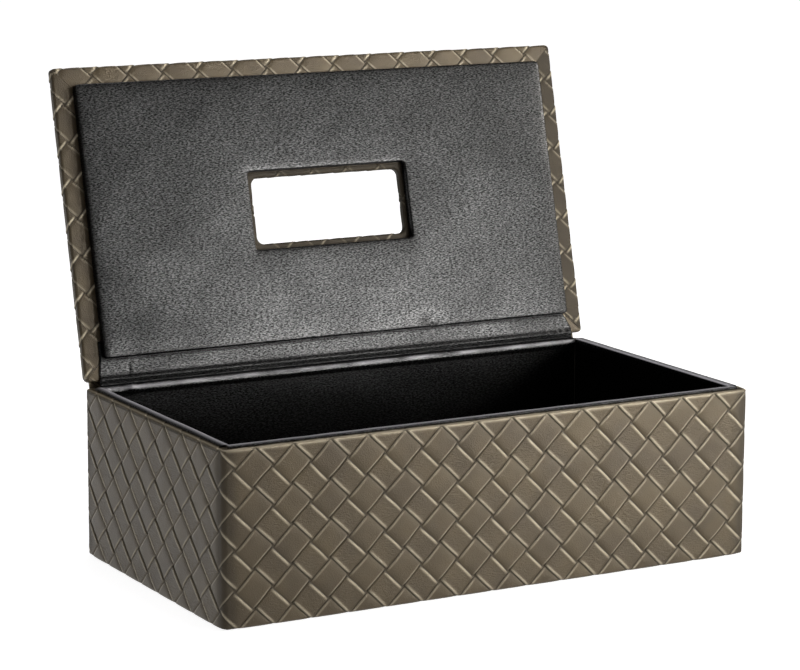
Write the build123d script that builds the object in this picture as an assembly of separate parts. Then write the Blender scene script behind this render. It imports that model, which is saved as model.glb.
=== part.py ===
"""A covered tissue box with a hinged, slotted lid, modelled open as in use when it is being filled.

The body is an open tray of grey board, covered outside in embossed leathercloth and lined in
black leathercloth over card.  The lid is one covered board with a tissue slot and a raised,
lightly padded lining panel.  Two strips of cloth join them: the inner one is the back wall's
own lining, carried over the rim and tucked under the lid's panel, and the outer one is a spine
down the back.

Frame: millimetres, +X to the right, +Y to the back, +Z up, origin at the centre of the base.
"""
import os
from math import cos, radians, sin

from build123d import *

# ---- Overall sizes ----
box_length = 260.0            # outside the covered walls, left to right
box_depth = 140.0             # outside the covered walls, front to back
wall_height = 76.0            # from the table to the covered rim
upright_corner_radius = 3.0   # the soft outer corners of the walls and the lid
edge_radius = 1.0             # the leathercloth's rounding over the long edges

# ---- Boards and cards ----
wall_board = 3.5              # the four walls
floor_board_thickness = 3.0
lid_board_thickness = 2.8
wall_card = 0.7               # under the lining of each wall
floor_card = 1.0              # under the lining of the floor
panel_card_thickness = 1.2    # under the foam of the lid's panel
panel_foam_thickness = 1.4

# ---- Cloths ----
wrap_cloth = 0.6              # embossed leathercloth, outside
lining_cloth = 0.5            # black leathercloth, inside
base_cloth = 0.4              # the thin black sheet under the base
spine_cloth = 0.6             # embossed leathercloth, the outer hinge strip

# ---- Margins that the cloths are turned over by ----
rim_turn_in = 12.0            # outer wrap, down inside the walls
base_turn_under = 14.0        # outer wrap, under the base
base_cover_inset = 3.0        # base sheet, back from the outside of the walls
lining_turn_back = 8.0        # wall lining, down behind its card
floor_skirt = 1.0             # floor lining, down the edge of its card
lid_turn_in = 16.0            # lid's wrap, round the inner face
slot_turn_in = 6.0            # lid's wrap, out from the slot on the inner face
panel_turn_back = 12.0        # panel's cover, behind its card

# ---- Lining of the body ----
lining_rise = 0.8             # the lining's rounded top above the covered rim
lining_top_radius = 0.6
card_top_radius = 0.3         # the card's worn top edges, under the fold of the cloth
lining_fit = 0.2              # between the ends of one wall's lining and the next
floor_lining_fit = 0.3        # between the floor's lining and the walls'

# ---- Lid ----
lid_seat_gap = 0.2            # closed lid above the top of the lining
slot_length = 77.5            # clear opening for the tissues, between its covered edges
slot_width = 30.5
slot_corner_radius = 3.5
slot_offset = 0.8             # the slot sits this far right of the panel's hole
panel_side_inset = 9.2        # woven border left showing at the ends
panel_front_inset = 8.0       # and along the free edge
panel_back_inset = 9.5        # and along the hinge
panel_hole_length = 82.2
panel_hole_width = 36.0
panel_hole_radius = 1.6
panel_corner_radius = 1.0
panel_edge_radius = 1.2       # the padded face's rounding

# ---- Hinge ----
lid_open_angle = 104.2        # from closed to where the lid leans back
pivot_inset = 0.6             # the fold's axis, in from the back of the walls
pivot_rise = 2.0              # and above the inner face of the closed lid
hinge_lining_end_gap = 0.2    # between the inner sheet's ends and the side linings
hinge_tuck = 8.0              # the inner sheet's tuck under the panel
hinge_tuck_inset = 1.0        # the tuck is cut back from the panel's ends
tuck_clearance = 0.05         # on each side of the tucked sheet
groove_depth = 0.3            # sheet's centre above the rim, in the groove behind the lining
spine_end_gap = 3.0           # the spine stops short of the box's ends
spine_lap_on_wall = 14.0
spine_lap_on_lid = 14.0
spine_clearance = 0.08        # between the spine and the wrap that it is laid on
spine_fold_radius = 2.0
hinge_fold_radius = 0.45

# ---- Places that follow from the sizes ----
half_length = box_length / 2
half_depth = box_depth / 2
board_bottom = base_cloth + wrap_cloth
board_top = wall_height - wrap_cloth
board_half_length = half_length - wrap_cloth
board_half_depth = half_depth - wrap_cloth
cavity_half_length = board_half_length - wall_board
cavity_half_depth = board_half_depth - wall_board
mouth_half_length = cavity_half_length - wrap_cloth
mouth_half_depth = cavity_half_depth - wrap_cloth
lining_thickness = 2 * lining_cloth + wall_card
inside_half_length = mouth_half_length - lining_thickness
inside_half_depth = mouth_half_depth - lining_thickness
floor_top = board_bottom + floor_board_thickness
lining_top = wall_height + lining_rise
lid_thickness = lid_board_thickness + 2 * wrap_cloth
lid_inner_face = lining_top + lid_seat_gap
lid_outer_face = lid_inner_face + lid_thickness
panel_standoff = lining_cloth + 2 * tuck_clearance
panel_depth = panel_standoff + panel_card_thickness + panel_foam_thickness + lining_cloth
pivot_y = half_depth - pivot_inset
pivot_z = lid_inner_face + pivot_rise
hinge_axis = Axis((0, pivot_y, pivot_z), (1, 0, 0))


def block(x0, x1, y0, y1, z0, z1):
    """A plain box between two corners."""
    return Pos((x0 + x1) / 2, (y0 + y1) / 2, (z0 + z1) / 2) * Box(x1 - x0, y1 - y0, z1 - z0)


def centred_block(half_x, half_y, z0, z1):
    """A plain box centred on the origin in plan."""
    return block(-half_x, half_x, -half_y, half_y, z0, z1)


def rounded_block(length, depth, radius, z0, z1, x=0.0, y=0.0):
    """A plate or block with rounded upright corners, centred at x, y in plan."""
    plan = RectangleRounded(length, depth, radius)
    return Pos(x, y, z0) * extrude(plan, z1 - z0)


def edges_at(solid, z):
    """The edges of a solid that lie flat at one height."""
    return solid.edges().filter_by_position(Axis.Z, z - 0.001, z + 0.001)


def opened(y, z):
    """Where a point of the closed lid goes when the lid leans back."""
    turn = radians(-lid_open_angle)
    dy = y - pivot_y
    dz = z - pivot_z
    return (pivot_y + dy * cos(turn) - dz * sin(turn), pivot_z + dy * sin(turn) + dz * cos(turn))


def as_opened(solid):
    """Turn a piece drawn on the closed lid to the open lid."""
    return solid.rotate(hinge_axis, -lid_open_angle)


def strip(points, radii, thickness, half_width):
    """A strip of cloth with a folded section, drawn through (y, z) points along its middle."""
    path = FilletPolyline(*[(0, y, z) for y, z in points], radius=radii)
    along = Vector(0, points[1][0] - points[0][0], points[1][1] - points[0][1])
    start = Plane(origin=(0, *points[0]), x_dir=(1, 0, 0), z_dir=along)
    return sweep(start * Rectangle(2 * half_width, thickness), path=path)


# ---- Boards of the body: front and back run the full length, the sides fit between ----
def long_board(side):
    """The front (side -1) or back (side +1) board, with its two outer corners rounded."""
    board = block(
        -board_half_length, board_half_length,
        *sorted((side * cavity_half_depth, side * board_half_depth)),
        board_bottom, board_top,
    )
    outer = board.edges().filter_by(Axis.Z).group_by(Axis.Y)[0 if side < 0 else -1]
    return fillet(outer, min(upright_corner_radius - wrap_cloth, 0.9 * wall_board))


def end_board(side):
    """The left (side -1) or right (side +1) board."""
    return block(
        *sorted((side * cavity_half_length, side * board_half_length)),
        -cavity_half_depth, cavity_half_depth,
        board_bottom, board_top,
    )


front_board = long_board(-1)
back_board = long_board(1)
left_board = end_board(-1)
right_board = end_board(1)
floor_board = centred_block(cavity_half_length, cavity_half_depth, board_bottom, floor_top)

# ---- Outer wrap: over the walls, over the rim, down inside, and under the base ----
wrap_outside = rounded_block(box_length, box_depth, upright_corner_radius, base_cloth, wall_height)
wrap_outside = fillet(
    edges_at(wrap_outside, wall_height) + edges_at(wrap_outside, base_cloth), edge_radius
)
boards_space = rounded_block(
    2 * board_half_length, 2 * board_half_depth, upright_corner_radius - wrap_cloth,
    board_bottom, board_top,
)
mouth = centred_block(mouth_half_length, mouth_half_depth, board_top - rim_turn_in, wall_height)
base_window = centred_block(
    half_length - base_turn_under, half_depth - base_turn_under, 0, board_bottom
)
turn_in_ring = centred_block(
    cavity_half_length, cavity_half_depth, wall_height - rim_turn_in, board_top
)
turn_in_ring -= mouth
body_wrap = wrap_outside - boards_space - mouth - base_window + turn_in_ring

base_cover = rounded_block(
    box_length - 2 * base_cover_inset, box_depth - 2 * base_cover_inset,
    upright_corner_radius, 0, base_cloth,
)


# ---- Lining of the walls ----
def wall_lining(half_width, turn):
    """Card and cover of one wall, drawn at a front wall and turned about Z to its own place."""
    reach = mouth_half_depth if turn in (0, 180) else mouth_half_length
    back = -reach
    card = block(
        -half_width, half_width,
        back + lining_cloth, back + lining_cloth + wall_card,
        floor_top, lining_top - lining_cloth,
    )
    card_tops = edges_at(card, lining_top - lining_cloth).filter_by(Axis.X)
    card = fillet(card_tops, min(card_top_radius, 0.45 * wall_card))
    cover = block(-half_width, half_width, back, back + lining_thickness, floor_top, lining_top)
    round_over = min(lining_top_radius, 0.45 * lining_thickness)
    cover = fillet(edges_at(cover, lining_top).filter_by(Axis.X), round_over)
    behind_card = block(
        -half_width, half_width, back, back + lining_cloth,
        floor_top, lining_top - lining_turn_back,
    )
    cover = cover - card - behind_card
    return card.rotate(Axis.Z, turn), cover.rotate(Axis.Z, turn)


end_lining_half_width = inside_half_depth - lining_fit
front_lining_card, front_lining_cover = wall_lining(mouth_half_length, 0)
left_lining_card, left_lining_cover = wall_lining(end_lining_half_width, -90)
right_lining_card, right_lining_cover = wall_lining(end_lining_half_width, 90)
back_lining_card = wall_lining(mouth_half_length, 180)[0]

floor_half_length = inside_half_length - floor_lining_fit
floor_half_depth = inside_half_depth - floor_lining_fit
floor_lining_card = centred_block(
    floor_half_length - lining_cloth, floor_half_depth - lining_cloth,
    floor_top, floor_top + floor_card,
)
floor_lining_cover = centred_block(
    floor_half_length, floor_half_depth,
    floor_top + floor_card - floor_skirt, floor_top + floor_card + lining_cloth,
)
floor_lining_cover -= floor_lining_card

# ---- Lid, drawn closed and then turned to where it leans back ----
lid_outside = rounded_block(
    box_length, box_depth, upright_corner_radius, lid_inner_face, lid_outer_face
)
slot = rounded_block(
    slot_length, slot_width, slot_corner_radius,
    lid_inner_face, lid_outer_face, x=slot_offset,
)
lid_outside -= slot
lid_outside = fillet(
    edges_at(lid_outside, lid_outer_face) + edges_at(lid_outside, lid_inner_face), edge_radius
)
lid_board = rounded_block(
    2 * board_half_length, 2 * board_half_depth, upright_corner_radius - wrap_cloth,
    lid_inner_face + wrap_cloth, lid_outer_face - wrap_cloth,
)
lid_board -= rounded_block(
    slot_length + 2 * wrap_cloth, slot_width + 2 * wrap_cloth, slot_corner_radius + wrap_cloth,
    lid_inner_face, lid_outer_face, x=slot_offset,
)
between_turn_ins = centred_block(
    half_length - lid_turn_in, half_depth - lid_turn_in,
    lid_inner_face, lid_inner_face + wrap_cloth,
)
between_turn_ins -= rounded_block(
    slot_length + 2 * slot_turn_in, slot_width + 2 * slot_turn_in, slot_corner_radius,
    lid_inner_face, lid_inner_face + wrap_cloth, x=slot_offset,
)
lid_wrap = lid_outside - lid_board - between_turn_ins

# ---- Lining panel of the lid: card, thin foam and a black cover turned behind the card ----
panel_length = box_length - 2 * panel_side_inset
panel_width = box_depth - panel_front_inset - panel_back_inset
panel_y = (panel_front_inset - panel_back_inset) / 2
panel_face = lid_inner_face - panel_depth
card_face = lid_inner_face - panel_standoff - panel_card_thickness
foam_face = card_face - panel_foam_thickness


def panel_layer(z0, z1, inset):
    """One layer of the panel with its hole, drawn back from the cover's outside by inset."""
    radius = max(panel_corner_radius - inset, 0.3)
    layer = rounded_block(
        panel_length - 2 * inset, panel_width - 2 * inset, radius, z0, z1, y=panel_y
    )
    return layer - rounded_block(
        panel_hole_length + 2 * inset, panel_hole_width + 2 * inset,
        panel_hole_radius + inset, z0, z1,
    )


panel_card = panel_layer(card_face, lid_inner_face - panel_standoff, lining_cloth)
panel_foam = panel_layer(foam_face, card_face, lining_cloth)
panel_cover = panel_layer(panel_face, lid_inner_face, 0)
panel_cover = fillet(
    edges_at(panel_cover, panel_face), min(panel_edge_radius, 0.8 * panel_depth)
)
behind_panel = centred_block(
    panel_length / 2 - panel_turn_back, panel_width / 2 - panel_turn_back,
    lid_inner_face - panel_standoff, lid_inner_face,
)
behind_panel = behind_panel.move(Pos(0, panel_y, 0))
behind_panel -= rounded_block(
    panel_hole_length + 2 * slot_turn_in, panel_hole_width + 2 * slot_turn_in, slot_turn_in,
    lid_inner_face - panel_standoff, lid_inner_face,
)
hinge_lining_half_width = inside_half_length - hinge_lining_end_gap
panel_back_edge = half_depth - panel_back_inset
tuck_half_width = panel_length / 2 - hinge_tuck_inset
tuck_space = block(
    -tuck_half_width - lining_fit, tuck_half_width + lining_fit,
    panel_back_edge - hinge_tuck - lining_fit, half_depth,
    lid_inner_face - panel_standoff, lid_inner_face,
)
panel_cover = panel_cover - panel_card - panel_foam - behind_panel - tuck_space

lid_board = as_opened(lid_board)
lid_wrap = as_opened(lid_wrap)
panel_card = as_opened(panel_card)
panel_foam = as_opened(panel_foam)
panel_cover = as_opened(panel_cover)

# ---- Inner hinge sheet: lines the back wall, crosses the rim and lies on the lid's face ----
sheet_on_wall = inside_half_depth + lining_cloth / 2
sheet_over_card = lining_top - lining_cloth / 2
sheet_behind_card = mouth_half_depth - lining_cloth / 2
sheet_under_lid = lid_inner_face - tuck_clearance - lining_cloth / 2
hinge_lining = strip(
    [
        (sheet_on_wall, floor_top),
        (sheet_on_wall, sheet_over_card),
        (sheet_behind_card, sheet_over_card),
        (sheet_behind_card + lining_thickness / 2, wall_height + groove_depth),
        opened(half_depth - edge_radius, sheet_under_lid),
        opened(panel_back_edge - hinge_tuck, sheet_under_lid),
    ],
    hinge_fold_radius, lining_cloth, hinge_lining_half_width,
)
for side in (-1, 1):
    beside_tuck = block(
        *sorted((side * tuck_half_width, side * half_length)),
        panel_back_edge - 2 * hinge_tuck, panel_back_edge + tuck_clearance,
        lid_inner_face - panel_depth, lid_inner_face,
    )
    hinge_lining -= as_opened(beside_tuck)

# ---- Outer hinge spine: laid on the back of the body and on the back of the lid ----
spine_out = spine_clearance + spine_cloth / 2
hinge_spine = strip(
    [
        (half_depth + spine_out, wall_height - spine_lap_on_wall),
        (half_depth + spine_out, wall_height - edge_radius),
        opened(half_depth - edge_radius, lid_outer_face + spine_out),
        opened(half_depth - spine_lap_on_lid, lid_outer_face + spine_out),
    ],
    spine_fold_radius, spine_cloth, half_length - spine_end_gap,
)

pieces = {
    "front_board": front_board,
    "back_board": back_board,
    "left_board": left_board,
    "right_board": right_board,
    "floor_board": floor_board,
    "body_wrap": body_wrap,
    "base_cover": base_cover,
    "front_lining_card": front_lining_card,
    "front_lining_cover": front_lining_cover,
    "left_lining_card": left_lining_card,
    "left_lining_cover": left_lining_cover,
    "right_lining_card": right_lining_card,
    "right_lining_cover": right_lining_cover,
    "back_lining_card": back_lining_card,
    "floor_lining_card": floor_lining_card,
    "floor_lining_cover": floor_lining_cover,
    "hinge_lining": hinge_lining,
    "hinge_spine": hinge_spine,
    "lid_board": lid_board,
    "lid_wrap": lid_wrap,
    "panel_card": panel_card,
    "panel_foam": panel_foam,
    "panel_cover": panel_cover,
}

os.makedirs("parts", exist_ok=True)
for name, piece in pieces.items():
    export_step(piece, f"parts/{name}.step")

print(f"hinge axis y {pivot_y:.2f} z {pivot_z:.2f}, closed height {lid_outer_face:.2f}")
print(f"inside {2 * inside_half_length:.1f} x {2 * inside_half_depth:.1f} mm, wall "
      f"{half_depth - inside_half_depth:.2f} mm")
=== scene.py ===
"""Dressing of a covered tissue box: embossed leathercloth outside, black leathercloth inside.

Places are worked out in millimetres in the object's own frame (x right, y back, z up, origin
under the middle of the base) and turned to metres as each mesh is made.
"""
import math
import bpy
import numpy as np
from mathutils import Matrix, Vector


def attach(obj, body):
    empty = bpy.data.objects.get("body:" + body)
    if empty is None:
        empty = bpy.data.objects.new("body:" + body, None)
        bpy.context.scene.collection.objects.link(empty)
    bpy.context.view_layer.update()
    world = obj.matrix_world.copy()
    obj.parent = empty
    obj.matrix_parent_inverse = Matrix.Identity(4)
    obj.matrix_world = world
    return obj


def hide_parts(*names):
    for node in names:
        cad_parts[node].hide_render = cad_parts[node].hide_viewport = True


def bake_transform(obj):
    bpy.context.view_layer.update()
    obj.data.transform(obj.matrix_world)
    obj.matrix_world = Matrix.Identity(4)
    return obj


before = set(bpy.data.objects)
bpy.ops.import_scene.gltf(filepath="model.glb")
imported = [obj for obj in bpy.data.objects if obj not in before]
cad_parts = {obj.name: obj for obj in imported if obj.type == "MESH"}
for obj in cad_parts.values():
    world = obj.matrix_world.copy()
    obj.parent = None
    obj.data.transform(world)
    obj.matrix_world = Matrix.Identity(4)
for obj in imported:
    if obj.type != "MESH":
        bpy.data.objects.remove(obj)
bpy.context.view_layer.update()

MM = 0.001

# ---- Sizes shared with the solids, in millimetres ----
HALF_LENGTH, HALF_DEPTH, WALL_HEIGHT = 130.0, 70.0, 76.0
CORNER, EDGE = 3.0, 1.0
BASE_LIFT = 0.4                       # the base sheet's thickness, under the wrap
MOUTH_X, MOUTH_Y = 125.3, 65.3        # inner face of the wrap's turn-in
FLOOR_TOP, FLOOR_FACE, LINING_TOP = 4.0, 5.5, 76.8
LID_INNER, LID_OUTER = 77.0, 81.0     # faces of the closed lid
PIVOT_Y, PIVOT_Z, OPEN_ANGLE = 69.4, 79.0, math.radians(104.2)
SLOT = (0.8, 0.0, 38.75, 15.25, 3.5)  # centre, half sizes and corner radius
PANEL_X, PANEL_FRONT, PANEL_BACK = 120.8, -62.0, 60.5
PANEL_FACE = 73.3
PANEL_HOLE = (41.1, 18.0, 1.6)        # half sizes and corner radius, at the panel's x = y = 0

# ---- The walls' outline: its sides, one rounded corner and the whole way round ----
LONG_SIDE, SHORT_SIDE = 2 * (HALF_LENGTH - CORNER), 2 * (HALF_DEPTH - CORNER)
CORNER_ARC = CORNER * math.pi / 2
ROUND = 2 * (LONG_SIDE + SHORT_SIDE) + 4 * CORNER_ARC

# ---- The embossing: a diagonal basket weave ----
PITCH_ALONG, PITCH_UP = 17.42, 16.89  # diamond to diamond
STEPS = 32                            # mesh steps to a diamond
STRIP = 12.2                          # across one strip
# left free on each side of a strip, as a share of its place
RISING_GAP, FALLING_GAP = 1 / STEPS, 1.5 / STEPS


def opened(p):
    """Points of the closed lid, turned to where the lid leans back."""
    p = np.array(p, float)
    c, s = math.cos(-OPEN_ANGLE), math.sin(-OPEN_ANGLE)
    dy, dz = p[..., 1] - PIVOT_Y, p[..., 2] - PIVOT_Z
    q = p.copy()
    q[..., 1] = PIVOT_Y + dy * c - dz * s
    q[..., 2] = PIVOT_Z + dy * s + dz * c
    return q


def opened_yz(y, z):
    """A place of the closed lid as y and z, turned with it."""
    return tuple(opened([0, y, z])[1:])


def ripple(x, y, seed, size):
    """Soft unevenness, mostly between -1 and 1, with humps about size apart."""
    draw = np.random.default_rng(seed)
    total = 0.0
    for _ in range(7):
        angle, phase = draw.uniform(0, math.tau, 2)
        length = size * draw.uniform(0.7, 1.8)
        total = total + np.sin(math.tau * (x * math.cos(angle) + y * math.sin(angle)) / length + phase)
    return total / 3.2


def smooth(value, low, high):
    """0 below low and 1 above high, turning smoothly between them."""
    w = np.clip((value - low) / (high - low), 0, 1)
    return w * w * (3 - 2 * w)


def hump(value, middle, width):
    """1 where a value is at its middle, falling away to both sides."""
    return np.exp(-((value - middle) / width) ** 2)


def steps_between(origin, step, low, high):
    """The whole steps from an origin that lie between low and high."""
    return np.arange(math.ceil((low - origin) / step), math.floor((high - origin) / step) + 1)


# ---- Meshes ----
def make_mesh(name, points, quads, triangles=(), **values):
    """An object from points in millimetres, with smooth faces and one attribute per value."""
    points = np.asarray(points, float)
    quads = np.asarray(quads, np.int64).reshape(-1, 4)
    triangles = np.asarray(triangles, np.int64).reshape(-1, 3)
    me = bpy.data.meshes.new(name)
    me.vertices.add(len(points))
    me.vertices.foreach_set("co", (points * MM).astype(np.float32).ravel())
    corners = np.concatenate([quads.ravel(), triangles.ravel()])
    me.loops.add(len(corners))
    me.loops.foreach_set("vertex_index", corners.astype(np.int32))
    starts = np.concatenate([
        np.arange(len(quads)) * 4, len(quads) * 4 + np.arange(len(triangles)) * 3,
    ])
    me.polygons.add(len(starts))
    me.polygons.foreach_set("loop_start", starts.astype(np.int32))
    me.update(calc_edges=True)
    me.validate()
    me.polygons.foreach_set("use_smooth", np.ones(len(me.polygons), bool))
    for key, value in values.items():
        value = np.asarray(value, np.float32)
        kind = "FLOAT_VECTOR" if value.ndim == 2 else "FLOAT"
        attribute = me.attributes.new(key, kind, "POINT")
        attribute.data.foreach_set("vector" if value.ndim == 2 else "value", value.ravel())
    ob = bpy.data.objects.new(name, me)
    bpy.context.scene.collection.objects.link(ob)
    return ob


def grid_faces(rows, columns, first=0, loop=False, flip=False):
    """Quads of a grid of points that is laid out row by row."""
    at = first + np.arange(rows * columns).reshape(rows, columns)
    if loop:
        at = np.concatenate([at, at[:, :1]], 1)
    q = np.stack([at[:-1, :-1], at[:-1, 1:], at[1:, 1:], at[1:, :-1]], -1)
    return q.reshape(-1, 4)[:, ::-1] if flip else q.reshape(-1, 4)


def split_on_creases(quads, along, up):
    """Quads that an emboss line crosses are cut along it. along and up are lattice places of the
    points, in mesh steps, up to the right and up."""
    low = np.rint(along[quads] - up[quads]).astype(int) % STEPS
    high = np.rint(along[quads] + up[quads]).astype(int) % STEPS
    near = [0, 1, 2, STEPS - 1, STEPS - 2]  # steps on or beside the line between two strips
    same_low = np.isin(low, near)
    same_high = np.isin(high, near)
    rising = same_low[:, 0] & same_low[:, 2] & (low[:, 0] == low[:, 2])
    falling = same_high[:, 1] & same_high[:, 3] & (high[:, 1] == high[:, 3])
    falling &= ~rising
    r, f = quads[rising], quads[falling]
    triangles = np.concatenate([
        r[:, [0, 1, 2]], r[:, [0, 2, 3]], f[:, [0, 1, 3]], f[:, [1, 2, 3]],
    ])
    return quads[~(rising | falling)], triangles


def emboss(x, y):
    """Height in millimetres of the pressed weave, with how crumpled each place is, how deep in a groove
    (the amount of painted shade there) and how high on a strip's rolled edge (the amount of painted
    highlight there). x and y are lattice places, in diamonds."""
    a, b = x + y, x - y
    a, b = np.round(a * STEPS) / STEPS, np.round(b * STEPS) / STEPS
    ia, ib = np.floor(a), np.floor(b)
    p, q = a - ia, b - ib
    rises_over = (ia + ib) % 2 == 0

    def strip(along, across, over, gap, level, dive, bead, width, crown):
        """One family of strips: it dives under its neighbours at each end of a float."""
        bend = dive * (1 - np.abs(2 * along - 1) ** 4.5)
        edge = (np.minimum(across, 1 - across) - gap) * STRIP
        swell = 1 - np.abs(2 * along - 1) ** 4
        roll = bead * swell * hump(edge, width, 0.75 * width)
        drop = -0.20 * np.clip(1 - edge / 0.5, 0, 1) ** 2
        top = crown * (1 - (2 * across - 1) ** 2)
        z = np.where(over, level + bend, -level - bend) + roll + drop + top
        lit = swell * hump(edge, width, 0.7 * width)
        return np.where(edge <= 1e-6, -9.0, z), np.where(over, lit, 0)

    rising, rising_roll = strip(
        p, q, rises_over, RISING_GAP, level=0.0, dive=0.44, bead=0.05, width=0.5, crown=0.04)
    falling, falling_roll = strip(
        q, p, ~rises_over, FALLING_GAP, level=0.26, dive=0.10, bead=0.28, width=0.62, crown=0.02)
    between = -0.16                       # the cloth that shows between strips
    z = np.maximum(np.maximum(rising, falling), between)
    # pressed lines, also painted with shade: a deep one beside each falling strip and a thin one beside
    # each rising strip
    nearest_p, nearest_q = np.minimum(p, 1 - p), np.minimum(q, 1 - q)
    to_falling = np.where(rises_over, nearest_p + FALLING_GAP, np.abs(nearest_p - FALLING_GAP)) * STRIP
    to_rising = np.where(rises_over, np.abs(nearest_q - RISING_GAP), nearest_q + RISING_GAP) * STRIP
    deep, thin = hump(to_falling, 0, 0.34), hump(to_rising, 0, 0.24)
    crumple = np.where(falling > rising, 1.0, 0.0)
    ridge = np.where(falling > rising, falling_roll, 0.5 * rising_roll)
    return z - 0.14 * deep - 0.07 * thin - 0.30, crumple, np.maximum(deep, 0.75 * thin), ridge


# ---- Outlines ----
def round_the_box(s, inset):
    """Place and outward direction at s millimetres round the box from the left end of its front,
    drawn in from the outside by inset."""
    u = np.mod(s, ROUND)
    radius = np.maximum(CORNER - inset, 0.02)
    cx, cy = HALF_LENGTH - inset - radius, HALF_DEPTH - inset - radius
    ends = np.cumsum([LONG_SIDE, CORNER_ARC, SHORT_SIDE, CORNER_ARC] * 2)
    part = np.clip(np.searchsorted(ends, u, side="right"), 0, 7)
    within = u - np.concatenate([[0], ends[:-1]])[part]
    quarter = part // 2
    on_arc = part % 2 == 1
    turn = quarter * math.pi / 2 + np.where(on_arc, within / CORNER, 0)
    nx, ny = np.sin(turn), -np.cos(turn)
    # corner centres in order: front right, back right, back left, front left
    corner_x = np.array([1, 1, -1, -1])[quarter] * cx
    corner_y = np.array([-1, 1, 1, -1])[quarter] * cy
    share = within / np.where(quarter % 2 == 0, LONG_SIDE, SHORT_SIDE) * 2 - 1
    sides = [quarter == 0, quarter == 1, quarter == 2]
    side_x = np.select(sides, [share * cx, cx + radius, -share * cx], -cx - radius)
    side_y = np.select(sides, [-cy - radius, share * cy, cy + radius], -share * cy)
    x = np.where(on_arc, corner_x + radius * nx, side_x)
    y = np.where(on_arc, corner_y + radius * ny, side_y)
    return x, y, nx, ny


def wall_profile(t):
    """Inset, height and normal (out, up) of the body's wrap, t millimetres up the cloth; t is the
    height on the wall itself, runs under the base below it and over the rim above it."""
    inset, z = np.zeros_like(t), np.array(t, float)
    out, up = np.ones_like(t), np.zeros_like(t)
    quarter = EDGE * math.pi / 2
    inner = 0.6                           # radius of the rim's inner edge
    # the lower edge and the way under the base
    low, high = BASE_LIFT + EDGE, WALL_HEIGHT - EDGE
    turn = np.clip((low - t) / EDGE, 0, math.pi / 2)
    m = t < low
    inset = np.where(m, EDGE * (1 - np.cos(turn)) + np.clip(low - quarter - t, 0, None), inset)
    z = np.where(m, low - EDGE * np.sin(turn), z)
    out, up = np.where(m, np.cos(turn), out), np.where(m, -np.sin(turn), up)
    # the rim's outer edge and its flat top
    turn = np.clip((t - high) / EDGE, 0, math.pi / 2)
    flat = HALF_LENGTH - MOUTH_X - EDGE - inner
    m = t > high
    inset = np.where(m, EDGE * (1 - np.cos(turn)) + np.clip(t - high - quarter, 0, flat), inset)
    z = np.where(m, high + EDGE * np.sin(turn), z)
    out, up = np.where(m, np.cos(turn), out), np.where(m, np.sin(turn), up)
    # its inner edge and the way down inside
    start = high + quarter + flat
    turn = np.clip((t - start) / inner, 0, math.pi / 2)
    down = np.clip(t - start - inner * math.pi / 2, 0, None)
    m = t > start
    inset = np.where(m, EDGE + flat + inner * np.sin(turn), inset)
    z = np.where(m, WALL_HEIGHT - inner * (1 - np.cos(turn)) - down, z)
    out, up = np.where(m, -np.sin(turn), out), np.where(m, np.cos(turn), up)
    return inset, z, out, up


def corner_distance(s):
    """How far a place round the box is from the nearest rounded corner, in millimetres."""
    middles = np.cumsum([
        LONG_SIDE + CORNER_ARC / 2, SHORT_SIDE + CORNER_ARC,
        LONG_SIDE + CORNER_ARC, SHORT_SIDE + CORNER_ARC,
    ])
    gaps = [np.abs(np.mod(s - m + ROUND / 2, ROUND) - ROUND / 2) for m in middles]
    return np.clip(np.minimum.reduce(gaps) - CORNER_ARC / 2, 0, None)


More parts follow.
